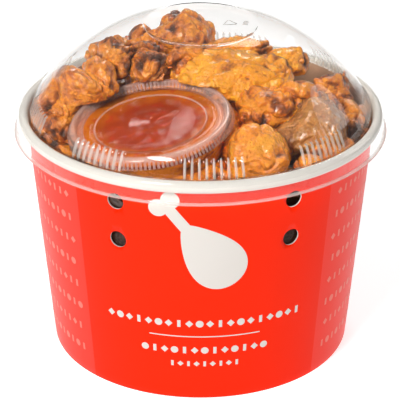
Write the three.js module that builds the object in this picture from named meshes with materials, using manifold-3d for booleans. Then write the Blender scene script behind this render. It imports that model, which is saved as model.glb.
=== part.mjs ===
// A paper takeaway bucket of glazed chicken wings under a clear domed lid,
// with a clear pot of dipping sauce set into the heap at the front left.
// Millimetres. The origin is the centre of the base on the table, +Z is up
// and the printed front of the bucket faces -Y.

import * as THREE from 'three';
import { mergeVertices } from 'three/addons/utils/BufferGeometryUtils.js';
import Module from 'manifold-3d';

const wasm = await Module();
wasm.setup();

// ---------------------------------------------------------------- sizes

const GAP = 0.35; // clearance between neighbouring pieces
const ROUND_STEPS = 48; // facets round the bucket and its lid
const POT_STEPS = 32; // facets round the dip pot

// Paper bucket
const PAPER = 0.8; // board thickness
const FOOT_RADIUS = 71.5; // outside of the wall at the table
const WALL_SLOPE = 0.0871; // how much the wall widens for each mm of height
const HEM_TOP = 8.2; // height of the wall's folded-in hem
const BASE_HEIGHT = 8.6; // underside of the recessed base disc
const FLANGE_FOOT = 1.5; // lower edge of the base disc's turned-down flange
const ROLL_HEIGHT = 113.5; // centre of the rolled rim
const ROLL_HALF_WIDTH = 2.25;
const ROLL_HALF_HEIGHT = 2.8;
const ROLL_END_ANGLE = -115; // where the rolled paper stops, under the rim

// Vent holes, two rows each side of a printed panel, on the front and the back
const VENT_DIAMETER = 8;
const VENT_HEIGHTS = [81.7, 101.3];
const PANEL_TURN = 1.5; // the printed panel's middle, degrees round from the front
const VENT_SPREAD = 29.2; // degrees from the panel's middle to a vent hole

// Domed lid
const LID = 0.6; // plastic thickness
const DOME_RADIUS = 93.4;
const DOME_CENTRE = 69; // height of the dome's centre of curvature
const BAND_FOOT = { radius: 79.0, height: 117.4 };
const BAND_HEAD = { radius: 75.6, height: 123.85 };
const TOP_RING_RADIUS = 26.4;
const TOP_DISC_RADIUS = 25.0;
const TOP_DISC_HEIGHT = 155.3;
const CAP_RADIUS = 44; // inside this radius the dome is a little flatter than a sphere
const CAP_DROP = 3.9;
const SKIRT_FOOT = 106.3;
const FLANGE_RADIUS = 87.4;
const FLANGE_THICKNESS = 0.7;

// Dip pot
const POT_CENTRE = new THREE.Vector3(-23.0, -30.2, 122.9); // middle of its lid's top edge
const POT_TILT = { forward: 5.8, left: 6.9 }; // degrees
const POT_LID_RADIUS = 38.3;
const POT_LID_TOP_RADIUS = 36.6;
const POT_LID_SKIRT = 4.4;
const POT_RIM_RADIUS = 36.0;
const POT_FLOOR_RADIUS = 25.5;
const POT_DEPTH = 37;
const POT_PLASTIC = 0.6;
const SAUCE_DROP = 2.6; // sauce level below the pot's rim

// Wings
const WING_SIDES = 10;
const WING_RINGS = 9;
const HEAP_HEIGHT = 123; // top of the hidden wings, at the middle of the heap
const HEAP_EDGE_HEIGHT = 95; // top of the hidden wings at the wall
const HEAP_MIDDLE = { x: -14, y: 8 }; // the heap is highest left of the middle, towards the back

// ------------------------------------------------------------- materials

const finish = (color, roughness, opacity = 1) =>
  new THREE.MeshStandardMaterial({ color, roughness, metalness: 0, opacity, transparent: opacity < 1 });

const FINISHES = {
  board: finish(0xf2340b, 0.35),
  paper: finish(0xece8e0, 0.6),
  clear: finish(0xf4f4f2, 0.08, 0.3),
  sauce: finish(0xa82a04, 0.15),
  golden: finish(0xd58a25, 0.35),
  orange: finish(0xc9701f, 0.4),
  brown: finish(0x8f4a1c, 0.45),
};

// --------------------------------------------------------------- helpers

const radians = THREE.MathUtils.degToRad;

/** A ring or a solid turned about +Z from [radius, height] points, its faces outwards. */
function turned(profile, steps) {
  const points = profile.map(([radius, height]) => new THREE.Vector2(radius, height));
  if (THREE.ShapeUtils.area(points) < 0) points.reverse();
  return new THREE.LatheGeometry(points, steps).rotateX(Math.PI / 2);
}

/** The closed solid of a geometry, pointing outwards. */
function solidOf(geometry) {
  const bare = geometry.clone();
  bare.deleteAttribute('normal');
  bare.deleteAttribute('uv');
  const welded = mergeVertices(bare, 1e-3);
  const index = dropCollapsed(welded.index.array);
  const vertProperties = new Float32Array(welded.attributes.position.array);
  const solid = new wasm.Manifold(new wasm.Mesh({ numProp: 3, vertProperties, triVerts: index }));
  return solid.volume() < 0 ? solidOf(flipped(geometry)) : solid;
}

function dropCollapsed(index) {
  const kept = [];
  for (let i = 0; i < index.length; i += 3) {
    const [a, b, c] = [index[i], index[i + 1], index[i + 2]];
    if (a !== b && b !== c && a !== c) kept.push(a, b, c);
  }
  return new Uint32Array(kept);
}

function flipped(geometry) {
  const turnedOver = geometry.clone();
  const index = turnedOver.index.array;
  for (let i = 0; i < index.length; i += 3) [index[i], index[i + 1]] = [index[i + 1], index[i]];
  return turnedOver;
}

/** The largest body of a solid that a cut has left in several. */
function largestBody(solid) {
  return solid.decompose().reduce((best, body) => (body.volume() > best.volume() ? body : best));
}

function geometryOf(solid) {
  const { vertProperties, triVerts } = solid.getMesh();
  const geometry = new THREE.BufferGeometry();
  geometry.setAttribute('position', new THREE.BufferAttribute(vertProperties, 3));
  geometry.setIndex(new THREE.BufferAttribute(triVerts, 1));
  geometry.computeVertexNormals();
  return geometry;
}

/** Points on an ellipse in the [radius, height] plane, angles in degrees. */
function ovalArc(centre, halfWidth, halfHeight, from, to, steps) {
  return Array.from({ length: steps + 1 }, (_, i) => {
    const angle = radians(from + ((to - from) * i) / steps);
    return [centre[0] + halfWidth * Math.cos(angle), centre[1] + halfHeight * Math.sin(angle)];
  });
}

const wallRadius = (height) => FOOT_RADIUS + WALL_SLOPE * height;
const wallPoint = (inset, height) => [wallRadius(height) - inset, height];

// -------------------------------------------------------------- bucket

const rollCentre = [wallRadius(ROLL_HEIGHT) - PAPER + ROLL_HALF_WIDTH, ROLL_HEIGHT];

/** The tapered wall, hemmed in at the foot and rolled outwards at the rim. */
function wallProfile() {
  const channel = PAPER + 2 * GAP;
  const insideOfRoll = ovalArc(rollCentre, ROLL_HALF_WIDTH - PAPER, ROLL_HALF_HEIGHT - PAPER,
    180, ROLL_END_ANGLE, 7);
  const outsideOfRoll = ovalArc(rollCentre, ROLL_HALF_WIDTH, ROLL_HALF_HEIGHT, ROLL_END_ANGLE, 180, 9);
  const profile = [
    wallPoint(0, 0),
    ...insideOfRoll,
    ...outsideOfRoll,
    wallPoint(PAPER, PAPER),
    wallPoint(PAPER + channel, PAPER),
    wallPoint(PAPER + channel, HEM_TOP),
    wallPoint(2 * PAPER + channel, HEM_TOP),
    wallPoint(2 * PAPER + channel, 0),
  ];
  return [...profile, profile[0]];
}

/** A pin pointing outwards through the wall, at an angle round from the front. */
function ventCutter(angle, height) {
  const length = 12;
  const pin = new THREE.CylinderGeometry(VENT_DIAMETER / 2, VENT_DIAMETER / 2, length, 16);
  pin.translate(0, -wallRadius(height), 0);
  return pin.rotateZ(radians(angle)).translate(0, 0, height);
}

function bucketWall() {
  let wall = solidOf(turned(wallProfile(), ROUND_STEPS));
  for (const panel of [PANEL_TURN, PANEL_TURN + 180]) {
    for (const side of [-VENT_SPREAD, VENT_SPREAD]) {
      for (const height of VENT_HEIGHTS) {
        wall = wall.subtract(solidOf(ventCutter(panel + side, height)));
      }
    }
  }
  return geometryOf(wall);
}

/** The recessed base disc, its flange caught in the wall's folded hem. */
function bucketBase() {
  const outer = PAPER + GAP;
  const inner = outer + PAPER;
  return turned([
    [0, BASE_HEIGHT],
    wallPoint(inner, BASE_HEIGHT),
    wallPoint(inner, FLANGE_FOOT),
    wallPoint(outer, FLANGE_FOOT),
    wallPoint(outer, BASE_HEIGHT + PAPER),
    [0, BASE_HEIGHT + PAPER],
  ], ROUND_STEPS);
}

// ----------------------------------------------------------------- lid

const domeHeight = (radius, thickness = 0) =>
  DOME_CENTRE + Math.sqrt((DOME_RADIUS - thickness) ** 2 - radius ** 2)
  - CAP_DROP * Math.max(0, 1 - radius / CAP_RADIUS) ** 1.3;

/** Points down one face of the dome, from the top ring to the band. */
function domeArc(thickness, steps = 7) {
  const radius = DOME_RADIUS - thickness;
  const from = Math.asin((TOP_RING_RADIUS + 0.8) / radius);
  const to = Math.asin((BAND_HEAD.radius - thickness) / radius);
  return Array.from({ length: steps + 1 }, (_, i) => {
    const reach = radius * Math.sin(from + ((to - from) * i) / steps);
    return [reach, domeHeight(reach, thickness)];
  });
}

/** One face of the lid from its middle out to the skirt, set in by a thickness. */
function lidFace(thickness) {
  const reach = LID + GAP - thickness;
  return [
    [0, TOP_DISC_HEIGHT - thickness],
    [TOP_DISC_RADIUS - thickness / 2, TOP_DISC_HEIGHT - thickness],
    [TOP_RING_RADIUS - thickness / 2, domeHeight(TOP_RING_RADIUS, thickness)],
    ...domeArc(thickness),
    [BAND_FOOT.radius - thickness, BAND_FOOT.height - thickness / 2],
    [BAND_FOOT.radius + 0.3 - thickness / 2, BAND_FOOT.height - 2.3 - thickness],
    ...ovalArc(rollCentre, ROLL_HALF_WIDTH + reach, ROLL_HALF_HEIGHT + reach, 152, 0, 6),
  ];
}

/** The clear dome, its snap skirt over the rolled rim and a narrow flange below. */
function domeLid() {
  const skirtOuter = rollCentre[0] + ROLL_HALF_WIDTH + GAP + LID;
  return turned([
    ...lidFace(0),
    [skirtOuter, SKIRT_FOOT + FLANGE_THICKNESS],
    [FLANGE_RADIUS, SKIRT_FOOT + FLANGE_THICKNESS],
    [FLANGE_RADIUS, SKIRT_FOOT],
    [skirtOuter - LID, SKIRT_FOOT],
    ...lidFace(LID).reverse(),
  ], ROUND_STEPS);
}

/** All the room that the wings may fill, a gap short of the paper and plastic. */
function insideOfPack() {
  const clear = LID + GAP;
  return solidOf(turned([
    [0, BASE_HEIGHT + PAPER + GAP],
    wallPoint(PAPER + GAP, BASE_HEIGHT + PAPER + GAP),
    wallPoint(PAPER + GAP, ROLL_HEIGHT - 1),
    [BAND_FOOT.radius - clear, BAND_FOOT.height - 2.5 - clear],
    [BAND_FOOT.radius - clear, BAND_FOOT.height - clear],
    ...domeArc(clear).reverse(),
    [TOP_DISC_RADIUS - clear, TOP_DISC_HEIGHT - clear],
    [0, TOP_DISC_HEIGHT - clear],
  ], ROUND_STEPS));
}

// ------------------------------------------------------------- dip pot

const potWall = (depth) => POT_RIM_RADIUS - ((POT_RIM_RADIUS - POT_FLOOR_RADIUS) * depth) / POT_DEPTH;

/** Stands a piece made about the pot's own axis where the pot leans in the heap. */
function placed(geometry) {
  return geometry
    .rotateX(radians(POT_TILT.forward))
    .rotateY(-radians(POT_TILT.left))
    .translate(POT_CENTRE.x, POT_CENTRE.y, POT_CENTRE.z);
}

const POT_RIM = -1.6; // the pot's rim, below its lid's top edge

function dipPot() {
  const floor = POT_RIM - POT_DEPTH;
  return turned([
    [0, floor],
    [POT_FLOOR_RADIUS, floor],
    [potWall(3), POT_RIM - 3],
    [POT_RIM_RADIUS + 1, POT_RIM - 1],
    [POT_RIM_RADIUS + 1, POT_RIM],
    [potWall(0) - POT_PLASTIC, POT_RIM],
    [POT_FLOOR_RADIUS - POT_PLASTIC, floor + POT_PLASTIC],
    [0, floor + POT_PLASTIC],
  ], POT_STEPS);
}

/** The pot's snap lid: a sunk middle, two raised rings and a flared skirt. */
function dipPotLid() {
  const sunk = POT_RIM - 0.9;
  return turned([
    [0, sunk],
    [25.5, sunk],
    [26.5, sunk + 0.9],
    [31.0, sunk + 0.9],
    [31.8, sunk],
    [33.2, sunk],
    [33.9, 0],
    [POT_LID_TOP_RADIUS, 0],
    [POT_LID_RADIUS, -POT_LID_SKIRT],
    [POT_LID_RADIUS - POT_PLASTIC, -POT_LID_SKIRT],
    [POT_LID_TOP_RADIUS - POT_PLASTIC + 1.2, POT_RIM + GAP],
    [34.6, POT_RIM + GAP],
    [33.8, sunk - POT_PLASTIC],
    [0, sunk - POT_PLASTIC],
  ], POT_STEPS);
}

function dipSauce() {
  const level = POT_RIM - SAUCE_DROP - 0.4;
  const floor = POT_RIM - POT_DEPTH + POT_PLASTIC + GAP;
  const inset = POT_PLASTIC + GAP;
  return turned([
    [0, floor],
    [POT_FLOOR_RADIUS - inset, floor],
    [potWall(SAUCE_DROP + 0.4) - inset, level],
    [0, level],
  ], POT_STEPS);
}

/** The space that the pot and its lid need in the heap. */
function potRoom() {
  const top = GAP + 0.1;
  return solidOf(placed(turned([
    [0, POT_RIM - POT_DEPTH - GAP],
    [POT_FLOOR_RADIUS + GAP, POT_RIM - POT_DEPTH - GAP],
    [potWall(4) + 2 * GAP, POT_RIM - 4 - GAP],
    [POT_LID_RADIUS + GAP, -POT_LID_SKIRT - GAP],
    [POT_LID_RADIUS + GAP, top],
    [0, top],
  ], POT_STEPS)));
}

// --------------------------------------------------------------- wings

// How thick a wing is along its length, as a share of its girth: the meaty
// drumette with its bony knuckle, the even two-boned flat and the thin tip.
const bump = (t, at, spread) => Math.exp(-(((t - at) / spread) ** 2));
const SHAPES = {
  drumette: (t) => 0.45 + 0.55 * bump(t, 0.3, 0.27) + 0.16 * bump(t, 0.93, 0.1),
  flat: (t) => 0.86 + 0.14 * bump(t, 0.08, 0.16) + 0.16 * bump(t, 0.92, 0.12),
  tip: (t) => 1 - 0.5 * t,
};

/** Rounds a wing's two ends: 1 along most of its length, 0 at either end. */
const endRound = (t) => Math.sqrt(Math.max(0, 1 - Math.abs(2 * t - 1) ** 4));

/**
 * One wing from its thick end to its bony end. Girth is half its width, depth
 * is its thickness as a share of that, and face is the way its broad side looks.
 */
function wingGeometry({ shape, from, to, girth, depth, face }, grow = 0) {
  const start = new THREE.Vector3(...from);
  const spine = new THREE.Vector3(...to).sub(start);
  const length = spine.length();
  const along = spine.clone().normalize();
  const out = new THREE.Vector3(...face);
  out.addScaledVector(along, -out.dot(along)).normalize();
  const side = new THREE.Vector3().crossVectors(along, out);
  const points = [start.clone().addScaledVector(along, -grow)];
  for (let ring = 1; ring < WING_RINGS; ring += 1) {
    const t = 0.5 - 0.5 * Math.cos((Math.PI * ring) / WING_RINGS);
    const half = girth * SHAPES[shape](t) * endRound(t);
    const sag = 0.06 * length * Math.sin(Math.PI * t);
    for (let k = 0; k < WING_SIDES; k += 1) {
      const angle = (2 * Math.PI * k) / WING_SIDES;
      const lump = 1 + 0.05 * Math.sin(3 * angle + 5 * t + length);
      points.push(start.clone()
        .addScaledVector(along, length * t + grow * (2 * t - 1))
        .addScaledVector(side, (half * lump + grow) * Math.cos(angle))
        .addScaledVector(out, (half * depth * lump + grow) * Math.sin(angle) + sag));
    }
  }
  points.push(start.clone().addScaledVector(along, length + grow));
  return ringsToGeometry(points, WING_RINGS - 1, WING_SIDES);
}

/** Skins a first point, rings of points and a last point into a closed geometry. */
function ringsToGeometry(points, rings, sides) {
  const index = [];
  const last = points.length - 1;
  for (let k = 0; k < sides; k += 1) {
    const next = (k + 1) % sides;
    index.push(0, 1 + next, 1 + k);
    for (let ring = 0; ring < rings - 1; ring += 1) {
      const [low, high] = [1 + ring * sides, 1 + (ring + 1) * sides];
      index.push(low + k, low + next, high + next, low + k, high + next, high + k);
    }
    const top = 1 + (rings - 1) * sides;
    index.push(top + k, top + next, last);
  }
  const geometry = new THREE.BufferGeometry().setFromPoints(points);
  geometry.setAttribute('normal', new THREE.Float32BufferAttribute(points.length * 3, 3));
  geometry.setAttribute('uv', new THREE.Float32BufferAttribute(points.length * 2, 2));
  geometry.setIndex(index);
  return geometry;
}

// The wings that show, from the topmost down. Each one gives way to those before it.
const WINGS = [
  { name: 'wing_large_flat', shape: 'flat', colour: 'golden', from: [-16, 5, 125], to: [44, 4, 127],
    girth: 16.5, depth: 0.65, face: [0.1, -0.5, 0.87] },
  { name: 'wing_top_drumette', shape: 'drumette', colour: 'orange', from: [8, 36, 136.5],
    to: [-31, 32, 133], girth: 13.5, depth: 0.9, face: [0, -0.3, 1] },
  { name: 'wing_curled_joint', shape: 'tip', colour: 'orange', from: [5, 14, 137], to: [-16, 6, 135],
    girth: 9, depth: 0.8, face: [0, -0.6, 0.8] },
  { name: 'wing_left_drumette', shape: 'drumette', colour: 'orange', from: [-51, 4, 130],
    to: [-66, -16, 112], girth: 16, depth: 0.85, face: [-0.5, -0.2, 0.9] },
  { name: 'wing_crusty_knuckle', shape: 'flat', colour: 'brown', from: [-46, 25, 136],
    to: [-35, 9, 132], girth: 10.5, depth: 0.9, face: [0, -0.5, 0.8] },
  { name: 'wing_dark_flat', shape: 'flat', colour: 'brown', from: [-34, 14, 132], to: [-12, 11, 131],
    girth: 9.5, depth: 0.9, face: [0, -0.6, 0.8] },
  { name: 'wing_right_flat', shape: 'flat', colour: 'brown', from: [17, -17, 118], to: [50, -8, 122],
    girth: 11, depth: 0.8, face: [0, -0.4, 0.9] },
  { name: 'wing_right_drumette', shape: 'drumette', colour: 'orange', from: [66, -18, 117],
    to: [33, -32, 107], girth: 17, depth: 0.75, face: [0.1, -0.35, 0.9] },
  { name: 'wing_front_drumette', shape: 'drumette', colour: 'golden', from: [37, -58, 113],
    to: [7, -24, 103], girth: 16, depth: 0.95, face: [-0.1, -0.3, 0.9] },
  { name: 'wing_upright_tip', shape: 'tip', colour: 'golden', from: [58, 12, 104], to: [68, 17, 126],
    girth: 10, depth: 0.6, face: [0.2, -0.9, 0.1] },
  { name: 'wing_far_right_flat', shape: 'flat', colour: 'brown', from: [64, 14, 110],
    to: [77, -22, 111], girth: 9, depth: 0.8, face: [-0.2, -0.2, 0.9] },
  { name: 'wing_front_right_flat', shape: 'flat', colour: 'orange', from: [42, -58, 105],
    to: [70, -26, 105], girth: 10, depth: 0.8, face: [0.1, -0.5, 0.8] },
];

/** The hidden wings below those that show, as one mound that fills the bucket. */
function heapMound() {
  const steps = 6;
  const reach = 2 * FOOT_RADIUS;
  const profile = [[0, BASE_HEIGHT], [reach, BASE_HEIGHT], [reach, HEAP_EDGE_HEIGHT]];
  for (let i = steps; i >= 0; i -= 1) {
    const share = i / steps;
    const fall = (HEAP_HEIGHT - HEAP_EDGE_HEIGHT) * share ** 1.6;
    profile.push([wallRadius(HEAP_HEIGHT) * share, HEAP_HEIGHT - fall]);
  }
  return solidOf(turned(profile, ROUND_STEPS / 2).translate(HEAP_MIDDLE.x, HEAP_MIDDLE.y, 0));
}

// --------------------------------------------------------------- object

const bucket = new THREE.Group();

function add(name, geometry, material) {
  const mesh = new THREE.Mesh(geometry, material);
  mesh.name = name;
  bucket.add(mesh);
}

add('bucket_wall', bucketWall(), FINISHES.board);
add('bucket_base', bucketBase(), FINISHES.paper);
add('dome_lid', domeLid(), FINISHES.clear);
add('dip_pot', placed(dipPot()), FINISHES.clear);
add('dip_pot_lid', placed(dipPotLid()), FINISHES.clear);
add('dip_sauce', placed(dipSauce()), FINISHES.sauce);

const room = insideOfPack();
let taken = potRoom();
for (const wing of WINGS) {
  const solid = solidOf(wingGeometry(wing)).intersect(room).subtract(taken);
  add(wing.name, geometryOf(largestBody(solid)), FINISHES[wing.colour]);
  taken = taken.add(solidOf(wingGeometry(wing, GAP)));
}
const heap = heapMound().intersect(room).subtract(taken);
add('wing_heap', geometryOf(largestBody(heap)), FINISHES.orange);

export default bucket;
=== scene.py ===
"""Bucket of glazed chicken wings under a clear domed lid, with a pot of dip in the heap."""

import logging
import math
import random
from dataclasses import dataclass, field
from enum import Enum
from typing import Callable

import bmesh
import bpy
from mathutils import Matrix, Vector, noise


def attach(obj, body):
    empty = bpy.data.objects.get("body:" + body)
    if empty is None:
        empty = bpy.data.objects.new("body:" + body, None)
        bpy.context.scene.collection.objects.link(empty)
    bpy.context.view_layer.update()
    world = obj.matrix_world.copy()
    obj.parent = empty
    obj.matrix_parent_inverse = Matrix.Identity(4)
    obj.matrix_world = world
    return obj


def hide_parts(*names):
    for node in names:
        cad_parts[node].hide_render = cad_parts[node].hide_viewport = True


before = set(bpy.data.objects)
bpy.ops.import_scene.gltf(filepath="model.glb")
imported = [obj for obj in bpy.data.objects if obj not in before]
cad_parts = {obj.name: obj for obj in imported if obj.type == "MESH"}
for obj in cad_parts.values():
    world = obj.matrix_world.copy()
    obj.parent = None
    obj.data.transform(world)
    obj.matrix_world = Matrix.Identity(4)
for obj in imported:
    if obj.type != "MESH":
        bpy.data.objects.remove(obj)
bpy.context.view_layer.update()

log = logging.getLogger("bucket")
MM = 0.001
BODY = "root"
# attribute of how browned a vertex is, plus painted shade in folds and creases, low by the wall and under
# the heap's top
CRUST_AND_SHADE = "crust_and_shade"
EDGE = "edge"
DARKEST = 1.6
GOLDEN_ANGLE = math.radians(137.5)
Point = tuple[float, float]
Triple = tuple[float, float, float]


# ------------------------------------------------------------------ shared sizes


@dataclass(frozen=True)
class PackSizes:
    """Sizes in millimetres that the bucket, its lid and its contents share."""

    foot_radius: float = 71.5
    slope: float = 0.0871
    paper: float = 0.8
    roll_height: float = 113.5
    roll_half_width: float = 2.25
    roll_half_height: float = 2.8
    hem_top: float = 8.2
    panel_turn: float = 1.5
    dome_radius: float = 93.4
    dome_centre: float = 69.0
    band_foot: Point = (79.0, 117.4)
    band_head: Point = (75.6, 123.85)
    ring_radius: float = 26.4
    disc_radius: float = 25.0
    disc_height: float = 155.3
    cap_radius: float = 44.0
    cap_drop: float = 3.9
    plastic: float = 0.5
    wall_gap: float = 0.5
    band_gap: float = 1.2
    dome_gap: float = 1.3
    disc_gap: float = 1.4

    def wall(self, height: float) -> float:
        """Outer radius of the paper wall at a height."""
        return self.foot_radius + self.slope * height

    @property
    def fronts(self) -> Point:
        """Degrees round of the middles of the front and the back panel."""
        return self.panel_turn, self.panel_turn + 180

    @property
    def roll_centre(self) -> Point:
        """Centre of the rolled rim's section, as (radius, height)."""
        return self.wall(self.roll_height) - self.paper + self.roll_half_width, self.roll_height

    def dome(self, radius: float) -> float:
        """Height of the dome's outside at a radius, its cap a little flatter than a sphere."""
        inward = max(0.0, 1.0 - radius / self.cap_radius)
        return self.dome_centre + math.sqrt(self.dome_radius**2 - radius**2) - self.cap_drop * inward**1.3

    def room(self, height: float) -> float:
        """Largest radius that the contents may reach at a height.

        Args:
            height: height over the table.

        Returns:
            The radius from the bucket's axis.
        """
        if height < self.roll_height:
            return self.wall(height) - self.paper - self.wall_gap
        foot, head = self.band_foot, self.band_head
        if height < head[1]:
            share = max(0.0, (height - foot[1]) / (head[1] - foot[1]))
            return foot[0] + (head[0] - foot[0]) * share - self.band_gap
        reach = (self.dome_radius - self.band_gap) ** 2 - (height - self.dome_centre) ** 2
        return math.sqrt(max(reach, 1.0))


PACK = PackSizes()


@dataclass(frozen=True)
class PotSizes:
    """Sizes in millimetres of the dip pot, measured down from its lid's top edge."""

    centre: Triple = (-23.0, -30.2, 122.9)
    forward: float = 5.8
    left: float = 6.9
    lid_radius: float = 38.3
    lid_top_radius: float = 36.6
    skirt: float = 4.4
    rim_radius: float = 36.0
    floor_radius: float = 25.5
    rim: float = -1.6
    depth: float = 37.0
    plastic: float = 0.6
    sauce_level: float = -4.4
    gap: float = 0.5
    skirt_gap: float = 0.8
    under_gap: float = 0.7
    under_reach: float = 6.0

    @property
    def floor(self) -> float:
        """Height of the cup's underside."""
        return self.rim - self.depth

    def placement(self) -> Matrix:
        """Takes the pot's own axes, in millimetres, to the bucket's.

        Returns:
            The pot's placement in the bucket.
        """
        lean = Matrix.Rotation(-math.radians(self.left), 4, "Y")
        tip = Matrix.Rotation(math.radians(self.forward), 4, "X")
        return Matrix.Translation(Vector(self.centre)) @ lean @ tip

    def wall(self, height: float) -> float:
        """Outer radius of the pot at a height below its lid's top edge."""
        share = (self.rim - height) / self.depth
        return self.rim_radius - (self.rim_radius - self.floor_radius) * share

    def room(self, height: float) -> float:
        """Radius that the pot and its lid need at a height, or 0 above and below them.

        Args:
            height: height over the lid's top edge.

        Returns:
            The radius from the pot's axis.
        """
        if height > self.gap or height < self.floor - self.plastic:
            return 0.0
        if height > -self.skirt - self.skirt_gap:
            return self.lid_radius + self.gap
        return self.wall(height) + self.gap


POT = PotSizes()
POT_FROM_AXIS = POT.placement()
POT_TO_AXIS = POT_FROM_AXIS.inverted()


# ------------------------------------------------------------------ mesh helpers


def oval(centre: Point, width: float, height: float, start: float, end: float, steps: int) -> list[Point]:
    """Points on an ellipse in the (radius, height) plane.

    Args:
        centre: middle of the ellipse.
        width: half its width.
        height: half its height.
        start: first angle in degrees.
        end: last angle in degrees.
        steps: number of steps between them.

    Returns:
        The points, both ends included.
    """
    turns = [math.radians(start + (end - start) * i / steps) for i in range(steps + 1)]
    return [(centre[0] + width * math.cos(a), centre[1] + height * math.sin(a)) for a in turns]


def spin_profile(bm: bmesh.types.BMesh, profile: list[Point], steps: int, closed: bool) -> None:
    """Spins a (radius, height) profile about +Z into the bmesh, in millimetres.

    Args:
        bm: the bmesh to add to.
        profile: the section's points.
        steps: number of facets round.
        closed: joins the last point to the first.
    """
    verts = [bm.verts.new((r, 0.0, z)) for r, z in profile]
    edges = [bm.edges.new(pair) for pair in zip(verts, verts[1:])]
    if closed:
        edges.append(bm.edges.new((verts[-1], verts[0])))
    bmesh.ops.spin(
        bm, geom=verts + edges, cent=(0, 0, 0), axis=(0, 0, 1),
        angle=2 * math.pi, steps=steps, use_merge=True,
    )
    bmesh.ops.remove_doubles(bm, verts=bm.verts[:], dist=1e-4)
    bmesh.ops.recalc_face_normals(bm, faces=bm.faces[:])


def azimuth(co: Vector) -> float:
    """Degrees round from the front, positive to the right."""
    return math.degrees(math.atan2(co.x, -co.y))


def finished(bm: bmesh.types.BMesh, name: str, smooth: bool = True) -> bpy.types.Object:
    """Turns a bmesh in millimetres into a linked object in metres at the origin.

    Args:
        bm: the bmesh, which is freed.
        name: the piece's name.
        smooth: shades the faces smooth.

    Returns:
        The new object.
    """
    bmesh.ops.scale(bm, vec=(MM, MM, MM), verts=bm.verts[:])
    for face in bm.faces:
        face.smooth = smooth
    mesh = bpy.data.meshes.new(name)
    bm.to_mesh(mesh)
    bm.free()
    piece = bpy.data.objects.new(name, mesh)
    bpy.context.scene.collection.objects.link(piece)
    return piece


def face_up(piece: bpy.types.Object) -> None:
    """Turns an open shell's faces outwards, judged by its first, which lies at the top."""
    if piece.data.polygons[0].normal.z < 0:
        piece.data.flip_normals()


def settle(piece: bpy.types.Object) -> None:
    """Applies a piece's modifiers to its mesh.

    Args:
        piece: the object.
    """
    graph = bpy.context.evaluated_depsgraph_get()
    mesh = bpy.data.meshes.new_from_object(piece.evaluated_get(graph), depsgraph=graph)
    piece.modifiers.clear()
    piece.data = mesh


def thicken(piece: bpy.types.Object, wall: float) -> None:
    """Gives an open shell a wall, inwards from its faces, and applies it.

    Args:
        piece: the open shell.
        wall: thickness in millimetres.
    """
    solid = piece.modifiers.new("wall", "SOLIDIFY")
    solid.thickness = wall * MM
    solid.offset = -1.0
    solid.use_even_offset = True
    settle(piece)
    for polygon in piece.data.polygons:
        polygon.use_smooth = True


def place(piece: bpy.types.Object, material: bpy.types.Material,
          nodes: tuple[str, ...] = ()) -> None:
    """Dresses a piece and hangs it on the bucket.

    Args:
        piece: the finished object.
        material: its material.
        nodes: the CAD nodes that it stands for.
    """
    piece.data.materials.clear()
    piece.data.materials.append(material)
    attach(piece, BODY)
    if nodes:
        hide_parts(*nodes)
    log.info("%s: %d faces", piece.name, len(piece.data.polygons))


# ------------------------------------------------------------------ node helpers


@dataclass
class NodeMaker:
    """Adds and wires the nodes of one node tree."""

    tree: bpy.types.NodeTree

    def add(self, kind: str, **values: object) -> bpy.types.Node:
        """Adds a node. A value whose name is a socket's sets that socket, spaces as underscores.

        Args:
            kind: the node's type name.
            values: attributes and socket values.

        Returns:
            The new node.
        """
        node = self.tree.nodes.new(kind)
        for name, value in values.items():
            if hasattr(node, name):
                setattr(node, name, value)
            else:
                node.inputs[name.replace("_", " ")].default_value = value
        return node

    def join(self, source: bpy.types.NodeSocket, target: bpy.types.NodeSocket) -> None:
        """Links an output to an input."""
        self.tree.links.new(source, target)

    def noise(self, coords: bpy.types.NodeSocket, scale: float, detail: float = 3.0) -> bpy.types.NodeSocket:
        """A noise texture's value at the coordinates.

        Args:
            coords: the coordinates.
            scale: features per metre.
            detail: octaves.

        Returns:
            The value, from 0 to 1.
        """
        node = self.add("ShaderNodeTexNoise", Scale=scale, Detail=detail)
        self.join(coords, node.inputs["Vector"])
        return node.outputs["Fac"]

    def ramp(self, value: bpy.types.NodeSocket, stops: list[tuple[float, tuple]]) -> bpy.types.NodeSocket:
        """A colour ramp over a value.

        Args:
            value: the input value.
            stops: (position, colour) pairs, two or more.

        Returns:
            The colour output.
        """
        node = self.add("ShaderNodeValToRGB")
        elements = node.color_ramp.elements
        while len(elements) < len(stops):
            elements.new(0.5)
        for element, (position, colour) in zip(elements, stops):
            element.position = position
            element.color = (*colour, 1.0)
        self.join(value, node.inputs["Fac"])
        return node.outputs["Color"]

    def math(self, operation: str, *values: object) -> bpy.types.NodeSocket:
        """A Math node over sockets or numbers.

        Args:
            operation: the node's operation.
            values: its inputs in order.

        Returns:
            The result.
        """
        node = self.add("ShaderNodeMath", operation=operation)
        for i, value in enumerate(values):
            if isinstance(value, (int, float)):
                node.inputs[i].default_value = value
            else:
                self.join(value, node.inputs[i])
        return node.outputs[0]

    def mix(self, share: bpy.types.NodeSocket, low: object, high: object) -> bpy.types.NodeSocket:
        """Mixes two colours, each a socket or a triple, by a share.

        Args:
            share: how far it is the second colour.
            low: the first colour.
            high: the second colour.

        Returns:
            The mixed colour.
        """
        node = self.add("ShaderNodeMix", data_type="RGBA", blend_type="MIX")
        self.join(share, node.inputs[0])
        for socket, value in ((node.inputs[6], low), (node.inputs[7], high)):
            if isinstance(value, tuple):
                socket.default_value = (*value, 1.0)
            else:
                self.join(value, socket)
        return node.outputs[2]

    def bump(self, height: bpy.types.NodeSocket, distance: float,
             strength: float = 1.0) -> bpy.types.NodeSocket:
        """A Bump node's normal, its distance in millimetres.

        Args:
            height: the height to bump by.
            distance: how far a height of 1 stands out.
            strength: how much of it shows.

        Returns:
            The normal.
        """
        node = self.add("ShaderNodeBump", Strength=strength, Distance=distance * MM)
        self.join(height, node.inputs["Height"])
        return node.outputs["Normal"]


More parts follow.
